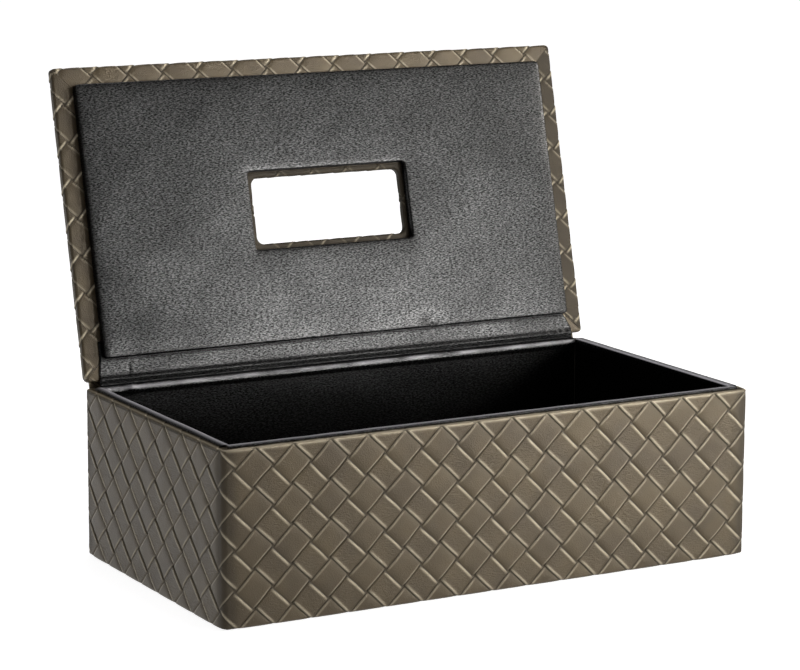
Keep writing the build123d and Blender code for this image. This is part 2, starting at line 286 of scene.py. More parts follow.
def body_wrap():
    """The body's cloth: once round the walls, turned under the base and in over the rim."""
    start_s, start_t = 2.6, 67.36         # a junction of the weave, near the front's left end
    step_s, step_t = PITCH_ALONG / STEPS, PITCH_UP / STEPS
    seam_low, seam_high = -151.4, 647.6   # the cloth's ends lap on the back, near its left end
    lap_start = 642.0                     # from here on it climbs on to its own beginning
    under, inside = -12.5, 90.5           # where it ends under the base and inside the walls
    i = steps_between(start_s, step_s, seam_low, seam_high)
    j = steps_between(start_t, step_t, under, inside)
    ii, jj = np.meshgrid(i, j)
    s, t = start_s + ii * step_s, start_t + jj * step_t
    z, crumple, groove, ridge = emboss(ii / STEPS, jj / STEPS)
    # hand-laid cloth: the lattice wanders a little
    ws = s + 0.30 * ripple(s, t, 3, 60) + 0.16 * ripple(s, t, 7, 11)
    wt = t + 0.25 * ripple(s, t, 4, 60) * np.clip((75 - t) / 10, 0, 1) * np.clip((t - 2) / 10, 0, 1)
    inset, height, out, up = wall_profile(wt)
    x, y, nx, ny = round_the_box(ws, inset)
    z = z + 0.06 * ripple(s, t, 5, 14) + 0.02 * ripple(s, t, 6, 6)
    # the pressing fades where the cloth is pulled round the corners and the lower edge
    away = corner_distance(s)
    z = z * (0.35 + 0.65 * smooth(away, 0.0, 5.0)) * (0.3 + 0.7 * smooth(t, 0.5, 4.0))
    z = z - 0.42 * np.exp(-away / 3.5)
    z = np.maximum(z, -0.52)
    # painted shade darkens the cloth on and beside the rounded corners
    groove = np.maximum(groove, 0.45 * hump(away, 0, 3.5))
    z = np.where(up < -0.5, np.minimum(z - 0.15, -0.08), z)
    z = np.where((up > 0.9) | (out < 0), 0.5 * z - 0.1, z)
    over_rim = smooth(t, WALL_HEIGHT - 1.2, WALL_HEIGHT + 0.4)
    groove, ridge = groove * (1 - 0.6 * over_rim), ridge * (1 - 0.85 * over_rim)
    # a painted highlight along the fold over the rim, a painted shade line under it at the ends and a
    # painted highlight along the front's top edge
    above, on_end, on_front = t - WALL_HEIGHT, np.abs(nx) > 0.9, ny < -0.9
    ridge = np.maximum(ridge, 0.7 * hump(above, 0.5, 0.7))
    groove = np.maximum(groove, 0.9 * hump(above, -1.1, 0.3) * on_end)
    ridge = np.maximum(ridge, 0.55 * (1 - groove) * hump(above, -0.5, 0.7) * on_front)
    z = z + 0.45 * np.clip((s - lap_start) / 1.5, 0, 1)
    p = np.stack([x + nx * out * z, y + ny * out * z, height + up * z], -1)
    quads, triangles = split_on_creases(grid_faces(len(j), len(i)), ii.ravel(), jj.ravel())
    cloth = np.stack([s, t, 0 * s], -1).reshape(-1, 3)
    return make_mesh(
        "body_leathercloth", p.reshape(-1, 3), quads, triangles,
        cloth=cloth, crumple=crumple.ravel(), groove=groove.ravel(), ridge=ridge.ravel(),
    )


# ---- Plates with a hole: the lid's wrap and the lid's panel ----
def grid_lines(origin, step, low, high):
    """Lattice-aligned lines from low to high, with the two ends exactly there."""
    lines = origin + step * steps_between(origin, step, low, high)
    lines = lines[(lines > low + 0.4 * step) & (lines < high - 0.4 * step)]
    return np.concatenate([[low], lines, [high]])


def outward(x, y, core_x, core_y, slack=0.0):
    """Places round a rectangle whose rounded corners are centred core_x, core_y out: which are on a
    corner, which are on the left or right side, and the direction outward as x and y."""
    kx, ky = np.abs(x) - core_x, np.abs(y) - core_y
    on_arc, to_side = (kx > slack) & (ky > slack), kx > ky
    length = np.maximum(np.hypot(kx, ky), 1e-9)
    dx = np.where(on_arc, kx / length, np.where(to_side, 1.0, 0.0)) * np.sign(x)
    dy = np.where(on_arc, ky / length, np.where(to_side, 0.0, 1.0)) * np.sign(y)
    return on_arc, to_side, dx, dy


def plate(xs, ys, radius, hole, rim_rows, hole_rows, face_z, side, centre_y=0.0):
    """A flat face with rounded corners and a hole, whose cloth goes on over the edges.

    xs and ys are the grid's lines, rim_rows and hole_rows the profile beyond the face as
    (inset, z, out, up, length of cloth so far), side is +1 for a face that looks up.
    Gives points, normals, cloth places, quads and the part that each point belongs to: 0 the face,
    2 the hole's edge, 3 the front and back edges, 4 the left and right ones, and 0.1 more on the
    side where x or y is positive."""
    hx, hy = xs[-1], ys[-1] - centre_y
    gx, gy = np.meshgrid(xs, ys)
    # pull the grid's corners in to the rounded outline
    u = (np.abs(gx) - (hx - radius)) / radius
    v = (np.abs(gy - centre_y) - (hy - radius)) / radius
    m = np.maximum(u, v)
    inside = (u > 0) & (v > 0)
    with np.errstate(divide="ignore", invalid="ignore"):
        angle = np.where(u >= v, math.pi / 4 * v / u, math.pi / 2 - math.pi / 4 * u / v)
        pulled_x = np.sign(gx) * (hx - radius + radius * m * np.cos(angle))
        pulled_y = centre_y + np.sign(gy - centre_y) * (hy - radius + radius * m * np.sin(angle))
    fx, fy = np.where(inside, pulled_x, gx), np.where(inside, pulled_y, gy)
    cx, cy, hole_x, hole_y, hole_r = hole
    core_x, core_y = hole_x - hole_r, hole_y - hole_r
    rows, columns = gx.shape
    number = np.arange(rows * columns).reshape(rows, columns)
    quads = grid_faces(rows, columns)
    middle = np.stack([gx.ravel()[quads].mean(1) - cx, gy.ravel()[quads].mean(1) - cy], -1)
    q = np.abs(middle) - (core_x, core_y)
    outside = np.where((q > 0).all(1), np.hypot(*np.maximum(q, 0).T) > hole_r, (q > hole_r).any(1))
    quads = quads[outside]
    # the hole's edge, walked in order and moved on to its outline
    edges = {}
    for f in quads:
        for k in range(4):
            edges[(int(f[k]), int(f[(k + 1) % 4]))] = True
    onward = {b: a for a, b in edges if (b, a) not in edges}
    border = set(number[0]) | set(number[-1]) | set(number[:, 0]) | set(number[:, -1])
    first = min(k for k in onward if k not in border)
    walk = [first]
    while onward[walk[-1]] != first:
        walk.append(onward[walk[-1]])
    walk = np.array(walk)
    fx, fy = fx.ravel().copy(), fy.ravel().copy()
    lx, ly = fx[walk] - cx, fy[walk] - cy
    on_arc, to_side, dx, dy = outward(lx, ly, core_x, core_y)
    base_x = np.where(on_arc, np.sign(lx) * core_x, np.where(dx != 0, dx * core_x, lx))
    base_y = np.where(on_arc, np.sign(ly) * core_y, np.where(dy != 0, dy * core_y, ly))
    fx[walk], fy[walk] = cx + base_x + hole_r * dx, cy + base_y + hole_r * dy

    points = [np.stack([fx, fy, np.full_like(fx, face_z)], -1)]
    normals = [np.tile([0.0, 0.0, side], (len(fx), 1))]
    cloth = [np.stack([fx, fy], -1)]
    part = [np.zeros(len(fx))]
    faces = [quads]
    # bands round the hole
    last, count = walk, len(walk)
    for grow, z, out, up, run in hole_rows:
        number_now = sum(len(p) for p in points) + np.arange(count)
        px, py = cx + base_x + (hole_r + grow) * dx, cy + base_y + (hole_r + grow) * dy
        points.append(np.stack([px, py, np.full(count, z)], -1))
        normals.append(np.stack([-out * dx, -out * dy, np.full(count, up)], -1))
        cloth.append(np.stack([cx + base_x + (hole_r - run) * dx, cy + base_y + (hole_r - run) * dy], -1))
        part.append(np.full(count, 2.0))
        faces.append(np.stack([last, np.roll(last, -1), np.roll(number_now, -1), number_now], -1))
        last = number_now
    # bands round the outside
    loop = np.concatenate([number[0, :-1], number[:-1, -1], number[-1, :0:-1], number[:0:-1, 0]])
    bx, by = fx[loop], fy[loop] - centre_y
    on_arc, to_side, dx, dy = outward(bx, by, hx - radius, hy - radius, 1e-6)
    last, count = loop, len(loop)
    squeezed = 24.0

    def drawn_in(value, limit, new_limit):
        """A place along a side whose ends move in, with only its last part squeezed."""
        free = limit - squeezed
        return np.where(
            np.abs(value) > free,
            np.sign(value) * (free + (np.abs(value) - free) * (new_limit - free) / (limit - free)), value,
        )

    for inset, z, out, up, run in rim_rows:
        number_now = sum(len(p) for p in points) + np.arange(count)
        r = max(radius - inset, 0.02)
        ex, ey = hx - inset - r, hy - inset - r
        px = np.where(to_side, dx * (ex + r), drawn_in(bx, hx - radius, ex))
        py = np.where(to_side, drawn_in(by, hy - radius, ey), dy * (ey + r))
        px = np.where(on_arc, np.sign(bx) * ex + r * dx, px)
        py = np.where(on_arc, np.sign(by) * ey + r * dy, py)
        points.append(np.stack([px, py + centre_y, np.full(count, z)], -1))
        normals.append(np.stack([out * dx, out * dy, np.full(count, up)], -1))
        cloth.append(np.stack([
            np.where(to_side, dx * (hx + run), px),
            np.where(to_side, py + centre_y, centre_y + dy * (hy + run)),
        ], -1))
        part.append(np.where(to_side, 4.0, 3.0) + 0.1 * (np.where(to_side, bx, by) > 0))
        faces.append(np.stack([last, number_now, np.roll(number_now, -1), np.roll(last, -1)], -1))
        last = number_now
    q = np.concatenate(faces)
    if side < 0:
        q = q[:, ::-1]
    return (np.concatenate(points), np.concatenate(normals), np.concatenate(cloth), q, np.concatenate(part))


def rounding(inset0, z0, radius, from_angle, to_angle, rows, run):
    """Profile rows round an arc: angle 0 looks along the face's normal (up), 90 looks outward.
    inset0 and z0 are the arc's centre, given as an inset and a height."""
    found = []
    for k in range(1, rows + 1):
        angle = from_angle + (to_angle - from_angle) * k / rows
        found.append((
            inset0 - radius * math.sin(angle), z0 + radius * math.cos(angle),
            math.sin(angle), math.cos(angle), run + radius * abs(angle - from_angle),
        ))
    return found


def straight(start, end, out, up, rows, run):
    """Profile rows along a straight run between two (inset, z) places."""
    length = math.hypot(end[0] - start[0], end[1] - start[1])
    return [(
        start[0] + (end[0] - start[0]) * k / rows, start[1] + (end[1] - start[1]) * k / rows,
        out, up, run + length * k / rows,
    ) for k in range(1, rows + 1)]


def lid_wrap():
    """The lid's cloth: over its outer face and its edges, turned in round it and round the slot."""
    quarter = EDGE * math.pi / 2
    shown, turn_in, slot_turn_in = 9.5, 15.0, 4.8  # on the inner face; the shown part is finer

    # insets are from the face's own edge, which is EDGE in from the outside
    def over_edge(rows):
        found = rounding(0, LID_OUTER - EDGE, EDGE, 0, math.pi / 2, 4, 0)
        found += straight((-EDGE, LID_OUTER - EDGE), (-EDGE, LID_INNER + EDGE), 1, 0, rows, quarter)
        return found + rounding(0, LID_INNER + EDGE, EDGE, math.pi / 2, math.pi, 4, run - quarter)

    run = 2 * quarter + LID_OUTER - LID_INNER - 2 * EDGE
    rim = over_edge(4)
    rim += straight((0, LID_INNER), (shown, LID_INNER), 0, -1, 18, run)
    rim += straight((shown, LID_INNER), (turn_in, LID_INNER), 0, -1, 3, run + shown)
    rim += straight((turn_in, LID_INNER), (turn_in, LID_INNER + 0.5), -1, 0, 1, run + turn_in)
    slot_rim = over_edge(3)
    slot_rim += straight((0, LID_INNER), (slot_turn_in, LID_INNER), 0, -1, 8, run)
    slot_rim += straight((slot_turn_in, LID_INNER), (slot_turn_in, LID_INNER + 0.5), -1, 0, 1, run + 5)
    cx, cy, sx, sy, sr = SLOT
    hole = (cx, cy, sx + EDGE, sy + EDGE, sr + EDGE)
    x0, y0 = -110.8, -77.1                # a junction of the weave, just past the front edge
    xs = grid_lines(x0, PITCH_ALONG / STEPS, -HALF_LENGTH + EDGE, HALF_LENGTH - EDGE)
    ys = grid_lines(y0, PITCH_UP / STEPS, -HALF_DEPTH + EDGE, HALF_DEPTH - EDGE)
    points, normals, cloth, quads, part = plate(
        xs, ys, 1.1, hole, rim, slot_rim, LID_OUTER, 1,
    )
    lattice_x, lattice_y = (cloth[:, 0] - x0) / PITCH_ALONG, -(cloth[:, 1] - y0) / PITCH_UP
    # each end's flap is cut apart at its corners, so its weave has its own start
    ends, flap_x, flap_y = part >= 4, 137.7, -53.7
    end_x = np.sign(cloth[:, 0]) * (np.abs(cloth[:, 0]) - flap_x) / PITCH_ALONG + 0.5
    lattice_x = np.where(ends, end_x, lattice_x)
    lattice_y = np.where(ends, -(cloth[:, 1] - flap_y) / PITCH_UP + 0.5, lattice_y)
    z, crumple, groove, ridge = emboss(lattice_x, lattice_y)
    # turned in and pressed down by hand, the weave is flatter there than on the lid's face
    z = z * (0.60 + 0.40 * np.clip(normals[:, 2], 0, 1)) + 0.05 * ripple(cloth[:, 0], cloth[:, 1], 8, 14)
    # nothing stands up under the panel, and little does under the hinge sheet
    hinge_side = points[:, 1] > 58
    under_panel = (np.abs(points[:, 0]) < 119) & (points[:, 1] > -60) & (points[:, 1] < 58)
    z = np.where((normals[:, 2] < -0.5) & under_panel, np.minimum(z, -0.05), z)
    z = np.where((normals[:, 2] < 0) & hinge_side, 0.3 * z - 0.1, z)
    points = points + normals * z[:, None]
    # painted shade darkens the slot's edge and the turned-in ends on the inner face, and more so at the
    # right end
    painted_end_shade = np.where(ends & (normals[:, 2] < 0), 0.2 + 3 * (part - 4), 0)
    groove = np.maximum(groove, np.where(part == 2, 0.6, painted_end_shade))
    ridge = np.where(part == 2, 0.4 * ridge, ridge)
    quads, triangles = split_on_creases(
        quads, np.rint(lattice_x * STEPS), np.rint(lattice_y * STEPS)
    )
    return make_mesh(
        "lid_leathercloth", opened(points), quads, triangles,
        cloth=np.column_stack([cloth, 0 * z]), crumple=crumple, groove=groove, ridge=ridge,
    )


def lid_panel():
    """The padded panel on the lid's inner face, with its hole round the slot."""
    radius, depth = 0.7, LID_INNER - PANEL_FACE
    foot = -LID_INNER + 0.02
    quarter = radius * math.pi / 2
    half_y, middle_y = (PANEL_BACK - PANEL_FRONT) / 2, (PANEL_BACK + PANEL_FRONT) / 2
    rim = rounding(0, -(PANEL_FACE + radius), radius, 0, math.pi / 2, 5, 0)
    rim += straight((-radius, -(PANEL_FACE + radius)), (-radius, foot), 1, 0, 3, quarter)
    rim += straight((-radius, foot), (3.0, foot), 0, -1, 2, quarter + depth)
    rim = [(inset, -z, out, -up, run) for inset, z, out, up, run in rim]
    hole_x, hole_y, hole_r = PANEL_HOLE
    hole = (0.0, 0.0, hole_x + radius, hole_y + radius, hole_r + radius)
    xs = grid_lines(0, 1.2, -PANEL_X + radius, PANEL_X - radius)
    ys = grid_lines(0, 1.2, middle_y - half_y + radius, middle_y + half_y - radius)
    points, normals, cloth, quads, _ = plate(
        xs, ys, 1.0, hole, rim, rim, PANEL_FACE, -1, centre_y=middle_y,
    )
    x, y = points[:, 0], points[:, 1]
    # thin foam: full in the middle of each field and pulled down towards its edges
    edge = np.minimum(PANEL_X - np.abs(x), half_y - np.abs(y - middle_y))
    to_hole = np.hypot(np.maximum(np.abs(x) - hole_x, 0), np.maximum(np.abs(y) - hole_y, 0))
    fall = 0.35 * np.exp(-np.clip(edge, 0, None) / 4.0) + 0.30 * np.exp(-to_hole / 4.0)
    z = 0.25 - fall + 0.10 * ripple(x, y, 11, 40) + 0.03 * ripple(x, y, 12, 13)
    # dents where the cloth was pressed along the hinge side, one of them deep
    z = z + 0.18 * smooth(y, 35.0, PANEL_BACK) * ripple(x, 0 * y, 13, 26)
    z = z - 0.7 * np.exp(-((x - 46) / 5.5) ** 2 - ((y - 57.5) / 3.0) ** 2)
    z = z * np.clip(-normals[:, 2], 0, 1)
    points = points + np.array([0, 0, -1.0]) * z[:, None]
    # handled all over its face, but not on its edges or where the hinge sheet goes in
    handled = 0.5 * smooth(-normals[:, 2], 0.5, 0.98) * smooth(PANEL_BACK - y, 0.2, 1.4)
    return make_mesh(
        "lid_panel_pad", opened(points), quads, cloth=np.column_stack([cloth, 0 * z]), handled=handled,
    )


# ---- Strips of cloth that follow a line in y, z ----
def rounded_line(places, radii, step):
    """A polyline in (y, z) with rounded corners, walked in equal steps: places and directions."""
    pts = [np.array(p, float) for p in places]
    line = [pts[0]]
    for k in range(1, len(pts) - 1):
        a, b, c = pts[k - 1], pts[k], pts[k + 1]
        u, v = (a - b) / np.linalg.norm(a - b), (c - b) / np.linalg.norm(c - b)
        half = 0.5 * math.acos(np.clip(np.dot(u, v), -1, 1))
        cut = min(radii[k - 1] / math.tan(half), 0.49 * np.linalg.norm(a - b), 0.49 * np.linalg.norm(c - b))
        start, end = b + u * cut, b + v * cut
        for w in np.linspace(0, 1, 9):
            line.append((1 - w) ** 2 * start + 2 * w * (1 - w) * b + w ** 2 * end)
    line.append(pts[-1])
    line = np.array(line)
    run = np.concatenate([[0], np.cumsum(np.hypot(*np.diff(line, axis=0).T))])
    keep = np.concatenate([[True], np.diff(run) > 1e-6])
    line, run = line[keep], run[keep]
    t = np.linspace(0, run[-1], int(run[-1] / step) + 1)
    y, z = np.interp(t, run, line[:, 0]), np.interp(t, run, line[:, 1])
    ty, tz = np.gradient(y, t), np.gradient(z, t)
    size = np.hypot(ty, tz)
    return t, y, z, ty / size, tz / size


def shell(name, front, back, **values):
    """A sheet from its two faces, given as grids of points, closed round its edges."""
    rows, columns = front.shape[:2]
    points = np.concatenate([front.reshape(-1, 3), back.reshape(-1, 3)])
    size = rows * columns
    n = np.arange(size).reshape(rows, columns)
    ring = np.concatenate([n[0, :-1], n[:-1, -1], n[-1, :0:-1], n[:0:-1, 0]])
    sides = np.stack([ring, ring + size, np.roll(ring, -1) + size, np.roll(ring, -1)], -1)
    quads = np.concatenate([
        grid_faces(rows, columns), grid_faces(rows, columns, size, flip=True), sides,
    ])
    doubled = {k: np.concatenate([v.reshape(size, -1)] * 2).squeeze() for k, v in values.items()}
    return make_mesh(name, points, quads, **doubled)


def beside(xx, y, z, ny, nz, distance):
    """Points across a sheet, at a distance from its line in y and z along its normals."""
    return np.stack([xx, y[:, None] + ny * distance + 0 * xx, z[:, None] + nz * distance + 0 * xx], -1)


def hinge_lining():
    """The black hinge sheet: up the back wall, over the rim and in under the lid's panel."""
    t, y, z, ty, tz = rounded_line(
        [
            (63.85, 4.0), (63.85, 72.4), (63.3, 74.4), (64.0, 76.65), (66.2, 76.5), (66.9, 76.7),
            (66.8, 79.4), opened_yz(68.2, 76.7), opened_yz(52.5, 76.7),
        ],
        [1.5, 1.0, 0.8, 0.4, 0.4, 0.5, 0.5], 0.4,
    )
    end, half, tucked_half = t[-1], 123.4, 119.8
    x = np.linspace(-half, half, 330)
    xx, tt = np.meshgrid(x, t)
    # the face that shows looks to the front: left of the way up the wall
    ny, nz = -tz[:, None], ty[:, None]
    # its last part narrows towards the panel, at the right end far more than at the left
    shown = np.clip((end - 8.0 - tt) / 7.0, 0, 1)
    wide = np.where(xx > 0, tucked_half + (half - tucked_half) * shown, half - 1.0 + shown)
    xx = xx * wide / half
    wave = 0.12 * ripple(xx, tt, 21, 30) * np.clip((end - 9 - tt) / 4, 0, 1)
    wave = wave * np.clip((tt - 40) / 20, 0, 1)
    # folds where the cloth bunches: one lump near the left end, several creases at the right end
    top = hump(tt, 72.0, 2.5)
    wave = wave + 0.7 * hump(xx, -109.5, 1.8) * top
    wave = wave - 0.25 * hump(xx, -109.0, 0.7) * smooth(tt, 78.0, 80.0) * shown
    near_end = smooth(xx, 103.0, 112.0) * (1 - smooth(xx, 119.5, 122.0))
    folds = np.sin((xx + 0.25 * (tt - 74)) * 1.9 + 1.5 * ripple(xx, tt, 23, 9))
    wave = wave + 0.09 * near_end * folds * smooth(tt, 60.0, 68.0) * np.clip((end - 9 - tt) / 3, 0, 1)
    sparse = np.clip(ripple(xx, 0 * tt, 24, 7) - 0.5, 0, 1)
    wave = wave - 0.3 * sparse * hump(tt, 72.0, 3.5)
    skin = 0.25                           # half of its thickness
    front, back = beside(xx, y, z, ny, nz, skin + wave), beside(xx, y, z, ny, nz, -skin)
    cloth = np.stack([xx, tt, 0 * xx], -1)
    patchy = np.clip(0.75 + 0.5 * ripple(xx, 0 * tt, 25, 17), 0.2, 1.2)
    # a painted highlight greys the fold at the top of the wall, and the cloth behind it, in a groove,
    # shines less
    on_fold = smooth(tt, 69.0, 71.0) * (1 - smooth(tt, 72.6, 73.4))
    handled = 0.1 + 0.4 * on_fold + 0.4 * smooth(tt, 79.5, 81.0)
    handled = handled + 0.21 * patchy * hump(tt, 71.7, 0.7)
    handled = handled * (1 - 0.9 * smooth(tt, end - 9.8, end - 8.8))
    return shell("hinge_lining_cloth", front, back, cloth=cloth, handled=handled)


def hinge_spine():
    """The outer hinge strip: on the back wall, round the fold and on the lid's outer face."""
    t, y, z, ty, tz = rounded_line(
        [(70.38, 62.0), (70.38, 75.0), opened_yz(69.0, 81.38), opened_yz(56.0, 81.38)],
        [2.0, 2.0], PITCH_UP / STEPS,
    )
    half = 127.0
    x = np.arange(-half, half + 0.01, PITCH_ALONG / STEPS)
    xx, tt = np.meshgrid(x, t)
    # seen from behind, x runs to the left
    i, j = np.meshgrid(np.arange(len(x)), np.arange(len(t)))
    w, crumple, groove, ridge = emboss(-i / STEPS, j / STEPS)
    ny, nz = tz[:, None], -ty[:, None]
    soft = 0.3 + 0.5 * w + 0.03 * ripple(xx, tt, 31, 15)
    front, back = beside(xx, y, z, ny, nz, soft), beside(xx, y, z, ny, nz, -0.3)
    cloth = np.stack([-xx, tt, 0 * xx], -1)
    return shell(
        "hinge_spine_leathercloth", front[:, ::-1], back[:, ::-1],
        cloth=cloth[:, ::-1], crumple=crumple[:, ::-1], groove=groove[:, ::-1], ridge=ridge[:, ::-1],
    )


def wall_lining(name, half, reach, turn, seed):
    """One wall's lining: up the face, over the rounded top, which laps out over the wrap's rim,
    and down behind, reach from the box's middle. It is made for the front wall and turned."""
    thick, top_r, lap, lap_r = 1.7, 0.6, 2.1, 0.35
    profile = []           # (depth from the face towards the wall, z, out, up)
    for z in np.linspace(FLOOR_TOP, LINING_TOP - top_r, 40):
        profile.append((0.0, z, -1.0, 0.0))
    for a in np.linspace(0, math.pi / 2, 6)[1:]:
        c, s = math.cos(a), math.sin(a)
        profile.append((top_r * (1 - c), LINING_TOP - top_r * (1 - s), -c, s))
    for a in np.linspace(0, math.pi / 2, 5)[1:]:
        c, s = math.cos(a), math.sin(a)
        profile.append((thick + lap - lap_r * (1 - s), LINING_TOP - lap_r * (1 - c), s, c))
    profile.append((thick + lap, WALL_HEIGHT + 0.1, 1.0, 0.0))
    profile.append((thick + lap - 0.1, WALL_HEIGHT, 1.0, -0.5))
    profile.append((thick, WALL_HEIGHT, 1.0, 0.0))
    profile.append((thick, FLOOR_TOP, 1.0, 0.0))
    d, z, out, up = np.array(profile).T
    run = np.concatenate([[0], np.cumsum(np.hypot(np.diff(d), np.diff(z)))])
    x = np.linspace(-half, half, max(int(half * 2 / 1.5), 2))
    xx, dd = np.meshgrid(x, d)
    zz, oo, uu, rr = (np.repeat(v[:, None], len(x), 1) for v in (z, out, up, run))
    wave = 0.06 * ripple(xx, rr, seed, 25) * (oo < 0.5)
    depth = dd + oo * wave
    p = np.stack([xx, -(reach - thick) - depth, zz + uu * wave], -1)
    c, s = math.cos(turn), math.sin(turn)
    p = np.stack([c * p[..., 0] - s * p[..., 1], s * p[..., 0] + c * p[..., 1], p[..., 2]], -1)
    rows, columns = xx.shape
    n = np.arange(rows * columns).reshape(rows, columns)
    bottom = np.stack([n[-1, :-1], n[-1, 1:], n[0, 1:], n[0, :-1]], -1)
    quads = np.concatenate([grid_faces(rows, columns), bottom])
    # a painted highlight along the inner edge of its top, and more shine on the top
    handled = np.maximum(hump(rr, 72.8, 0.75), 0.5 * smooth(zz, 76.3, 76.7))
    return make_mesh(
        name, p.reshape(-1, 3), quads[:, ::-1],
        cloth=np.stack([xx, rr, 0 * xx], -1).reshape(-1, 3), handled=handled.ravel(),
    )


def flat_sheet(name, half_x, half_y, radius, face_z, back_z, side, seed, wave, step):
    """A flat sheet with softly rounded edges; side +1 looks up and -1 looks down."""
    xs, ys = np.arange(-half_x, half_x + 0.01, step), np.arange(-half_y, half_y + 0.01, step)
    xs, ys = np.linspace(-half_x, half_x, len(xs)), np.linspace(-half_y, half_y, len(ys))
    xx, yy = np.meshgrid(xs, ys)
    edge = np.minimum(half_x - np.abs(xx), half_y - np.abs(yy))
    drop = radius * (1 - np.sqrt(np.clip(1 - (1 - np.clip(edge / max(radius, 1e-6), 0, 1)) ** 2, 0, 1)))
    bump = wave * ripple(xx, yy, seed, 35) * np.clip(edge / 6, 0, 1)
    front = np.stack([xx, yy, face_z - side * drop + side * bump], -1)
    back = np.stack([xx, yy, np.full_like(xx, back_z)], -1)
    cloth = np.stack([xx, yy, 0 * xx], -1)
    if side < 0:
        front, back, cloth = front[:, ::-1], back[:, ::-1], cloth[:, ::-1]
    return shell(name, front, back, cloth=cloth)


# ---- Materials ----
def linear(hex_colour):
    """An sRGB hex colour as linear red, green, blue, alpha."""
    values = [int(hex_colour[i:i + 2], 16) / 255 for i in (1, 3, 5)]
    return tuple(v / 12.92 if v <= 0.04045 else ((v + 0.055) / 1.055) ** 2.4 for v in values) + (1.0,)


def add(tree, kind, settings=None, inputs=None):
    """A node of a tree, with its settings, and its inputs as values or as sockets to link."""
    node = tree.nodes.new(kind)
    for key, value in (settings or {}).items():
        setattr(node, key, value)
    for key, value in (inputs or {}).items():
        if isinstance(value, bpy.types.NodeSocket):
            tree.links.new(value, node.inputs[key])
        else:
            node.inputs[key].default_value = value
    return node


def attribute(tree, name, socket="Fac"):
    """A value that the mesh carries at each point."""
    return add(tree, "ShaderNodeAttribute", {"attribute_name": name}).outputs[socket]


def calculate(tree, operation, a, b):
    """What an operation makes of two values."""
    return add(tree, "ShaderNodeMath", {"operation": operation}, {0: a, 1: b}).outputs[0]


def remap(tree, value, from_low, from_high, to_low, to_high):
    """A value moved from one range to another and held there."""
    return add(tree, "ShaderNodeMapRange", inputs={
        "Value": value, "From Min": from_low, "From Max": from_high,
        "To Min": to_low, "To Max": to_high,
    }).outputs[0]


def noise(tree, place, scale, detail, **more):
    """Cloudy noise between 0 and 1."""
    return add(tree, "ShaderNodeTexNoise", inputs={
        "Vector": place, "Scale": scale, "Detail": detail, **more,
    }).outputs["Fac"]


def tint(tree, factor, a, b):
    """A colour that goes from a to b as the factor goes from 0 to 1."""
    first, second, result = 6, 7, 2  # a mix node's sockets for colours
    return add(tree, "ShaderNodeMix", {"data_type": "RGBA"}, {
        "Factor": factor, first: a, second: b,
    }).outputs[result]


def relief(tree, height, depth, **more):
    """A normal from a height, where 1 stands for a depth in millimetres."""
    return add(tree, "ShaderNodeBump", inputs={
        "Height": height, "Strength": 1.0, "Distance": depth * MM, **more,
    }).outputs[0]


def new_material(name):
    material = bpy.data.materials.new(name)
    material.use_nodes = True
    tree = material.node_tree
    tree.nodes.clear()
    output = add(tree, "ShaderNodeOutputMaterial")
    return material, tree, output


def embossed_leathercloth():
    """Polyurethane leathercloth with a pearl-bronze finish, hot-pressed with a basket weave: a satin sheen,
    a painted highlight on the rolled edges of the strips, and painted shade in each groove."""
    material, tree, output = new_material("embossed bronze leathercloth")
    place = attribute(tree, "cloth", "Vector")
    crumple, groove, ridge = (attribute(tree, name) for name in ("crumple", "groove", "ridge"))
    ramp = add(tree, "ShaderNodeValToRGB", inputs={"Fac": noise(tree, place, 0.05, 3.0)})
    ramp.color_ramp.elements[0].position, ramp.color_ramp.elements[1].position = 0.3, 0.7
    ramp.color_ramp.elements[0].color = linear("#463b29")
    ramp.color_ramp.elements[1].color = linear("#534731")
    # painted shade: near black in the grooves, on the corners, at the slot's edge and on the turned-in
    # ends; painted highlight: pale on the strips' rolled edges and along the rim
    painted_shade, painted_highlight = calculate(tree, "MULTIPLY", groove, 0.95), calculate(tree, "MULTIPLY", ridge, 0.75)
    colour = tint(tree, painted_shade, ramp.outputs["Color"], linear("#0d0a06"))
    # painted highlight: the rolled edges and rim folds are tinted pale
    colour = tint(tree, painted_highlight, colour, linear("#dccfb4"))
    # fine leather grain, about 0.45 mm across
    grain = add(tree, "ShaderNodeTexVoronoi", {"feature": "F1"}, {"Vector": place, "Scale": 2.2})
    # crumpling of the falling strips: lines about 0.8 mm apart that run down them
    lean = add(tree, "ShaderNodeMapping", inputs={
        "Vector": place, "Rotation": (0, 0, math.radians(62)), "Scale": (0.45, 1.7, 1.0),
    })
    lines = noise(tree, lean.outputs[0], 1.0, 3.0, Distortion=0.6)
    creased = relief(tree, calculate(tree, "MULTIPLY", lines, crumple), 0.27)
    grained = relief(tree, grain.outputs["Distance"], 0.09, Normal=creased)
    rough = remap(tree, groove, 0.0, 1.0, 0.42, 0.8)
    polish = calculate(tree, "MULTIPLY", ridge, 0.14)
    rough = calculate(tree, "SUBTRACT", rough, polish)
    shader = add(tree, "ShaderNodeBsdfPrincipled", inputs={
        "Base Color": colour, "Metallic": 0.3, "Roughness": rough,
        "IOR": 1.5, "Normal": grained,
    })
    tree.links.new(shader.outputs[0], output.inputs[0])
    return material


